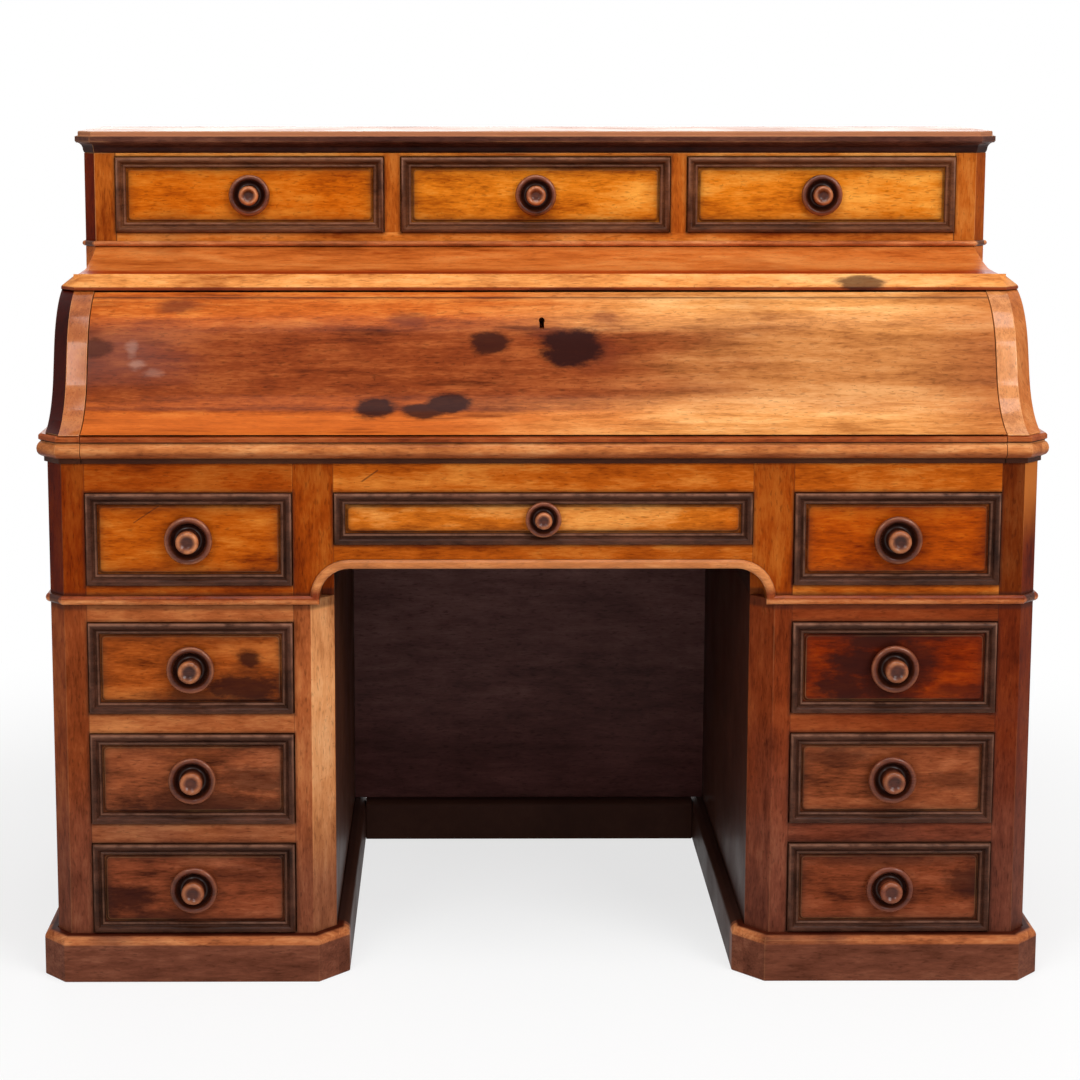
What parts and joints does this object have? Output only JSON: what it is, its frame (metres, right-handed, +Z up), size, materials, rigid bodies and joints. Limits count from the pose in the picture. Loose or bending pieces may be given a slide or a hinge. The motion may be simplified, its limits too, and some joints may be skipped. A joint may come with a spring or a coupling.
{
  "type": "writing bureau",
  "caption": "Pedestal writing bureau with an ogee fall over a pull-out writing slide, turned-knob drawers below and a drawer gallery above.",
  "frame": {"origin": "on the floor under the middle of the bureau's box", "axes": "+Z up, the drawers and the fall face -Y, +X to the right seen from the front"},
  "size_m": [1.473, 0.6898, 1.2351],
  "materials": {
    "gallery_wood": "polished mahogany, light",
    "fall_wood": "polished mahogany veneer, stained",
    "case_wood": "polished mahogany",
    "pedestal_wood": "polished mahogany, dark",
    "plinth_wood": "worn mahogany",
    "moulding_wood": "dark polished moulding",
    "knob_wood": "turned and polished",
    "dark_wood": "dark stained panel",
    "inner_wood": "plain interior wood",
    "leather": "worn writing leather",
    "brass": "aged"
  },
  "bodies": {
    "case": {"left_plinth": "plinth_wood", "right_plinth": "plinth_wood", "kneehole_plinth": "plinth_wood", "left_pedestal": "pedestal_wood", "right_pedestal": "pedestal_wood", "kneehole_back": "dark_wood", "frieze_case": "case_wood", "string_bead": "moulding_wood", "desk_bed": "case_wood", "left_ogee_end": "fall_wood", "right_ogee_end": "fall_wood", "shelf": "gallery_wood", "gallery_case": "gallery_wood", "gallery_bead": "moulding_wood", "cornice_top": "gallery_wood", "upper_back": "inner_wood", "pigeonholes": "inner_wood"},
    "left_upper_drawer": {"left_upper_drawer": "pedestal_wood", "left_upper_drawer_moulding": "moulding_wood", "left_upper_drawer_knob": "knob_wood"},
    "left_middle_drawer": {"left_middle_drawer": "pedestal_wood", "left_middle_drawer_moulding": "moulding_wood", "left_middle_drawer_knob": "knob_wood"},
    "left_lower_drawer": {"left_lower_drawer": "pedestal_wood", "left_lower_drawer_moulding": "moulding_wood", "left_lower_drawer_knob": "knob_wood"},
    "frieze_left_drawer": {"frieze_left_drawer": "case_wood", "frieze_left_drawer_moulding": "moulding_wood", "frieze_left_drawer_knob": "knob_wood"},
    "right_upper_drawer": {"right_upper_drawer": "pedestal_wood", "right_upper_drawer_moulding": "moulding_wood", "right_upper_drawer_knob": "knob_wood"},
    "right_middle_drawer": {"right_middle_drawer": "pedestal_wood", "right_middle_drawer_moulding": "moulding_wood", "right_middle_drawer_knob": "knob_wood"},
    "right_lower_drawer": {"right_lower_drawer": "pedestal_wood", "right_lower_drawer_moulding": "moulding_wood", "right_lower_drawer_knob": "knob_wood"},
    "frieze_right_drawer": {"frieze_right_drawer": "case_wood", "frieze_right_drawer_moulding": "moulding_wood", "frieze_right_drawer_knob": "knob_wood"},
    "frieze_centre_drawer": {"frieze_centre_drawer": "case_wood", "frieze_centre_drawer_moulding": "moulding_wood", "frieze_centre_drawer_knob": "knob_wood"},
    "gallery_left_drawer": {"gallery_left_drawer": "gallery_wood", "gallery_left_drawer_moulding": "moulding_wood", "gallery_left_drawer_knob": "knob_wood"},
    "gallery_centre_drawer": {"gallery_centre_drawer": "gallery_wood", "gallery_centre_drawer_moulding": "moulding_wood", "gallery_centre_drawer_knob": "knob_wood"},
    "gallery_right_drawer": {"gallery_right_drawer": "gallery_wood", "gallery_right_drawer_moulding": "moulding_wood", "gallery_right_drawer_knob": "knob_wood"},
    "slide": {"writing_slide": "case_wood", "slide_leather": "leather"},
    "fall": {"fall": "fall_wood", "left_fall_arm": "brass", "right_fall_arm": "brass", "fall_lock": "brass"}
  },
  "joints": [
    {"name": "left_upper_drawer_slide", "type": "slide", "parent": "case", "child": "left_upper_drawer", "axis": [0, -1, 0], "range_m": [0, 0.42]},
    {"name": "left_middle_drawer_slide", "type": "slide", "parent": "case", "child": "left_middle_drawer", "axis": [0, -1, 0], "range_m": [0, 0.42]},
    {"name": "left_lower_drawer_slide", "type": "slide", "parent": "case", "child": "left_lower_drawer", "axis": [0, -1, 0], "range_m": [0, 0.42]},
    {"name": "frieze_left_drawer_slide", "type": "slide", "parent": "case", "child": "frieze_left_drawer", "axis": [0, -1, 0], "range_m": [0, 0.42]},
    {"name": "right_upper_drawer_slide", "type": "slide", "parent": "case", "child": "right_upper_drawer", "axis": [0, -1, 0], "range_m": [0, 0.42]},
    {"name": "right_middle_drawer_slide", "type": "slide", "parent": "case", "child": "right_middle_drawer", "axis": [0, -1, 0], "range_m": [0, 0.42]},
    {"name": "right_lower_drawer_slide", "type": "slide", "parent": "case", "child": "right_lower_drawer", "axis": [0, -1, 0], "range_m": [0, 0.42]},
    {"name": "frieze_right_drawer_slide", "type": "slide", "parent": "case", "child": "frieze_right_drawer", "axis": [0, -1, 0], "range_m": [0, 0.42]},
    {"name": "frieze_centre_drawer_slide", "type": "slide", "parent": "case", "child": "frieze_centre_drawer", "axis": [0, -1, 0], "range_m": [0, 0.42]},
    {"name": "gallery_left_drawer_slide", "type": "slide", "parent": "case", "child": "gallery_left_drawer", "axis": [0, -1, 0], "range_m": [0, 0.16]},
    {"name": "gallery_centre_drawer_slide", "type": "slide", "parent": "case", "child": "gallery_centre_drawer", "axis": [0, -1, 0], "range_m": [0, 0.16]},
    {"name": "gallery_right_drawer_slide", "type": "slide", "parent": "case", "child": "gallery_right_drawer", "axis": [0, -1, 0], "range_m": [0, 0.16]},
    {"name": "writing_slide_pull", "type": "slide", "parent": "case", "child": "slide", "axis": [0, -1, 0], "range_m": [0, 0.26]},
    {"name": "fall_lift", "type": "hinge", "parent": "case", "child": "fall", "pos_m": [0, -0.14706, 0.8421], "axis": [-1, 0, 0], "range_deg": [0, 72]}
  ]
}
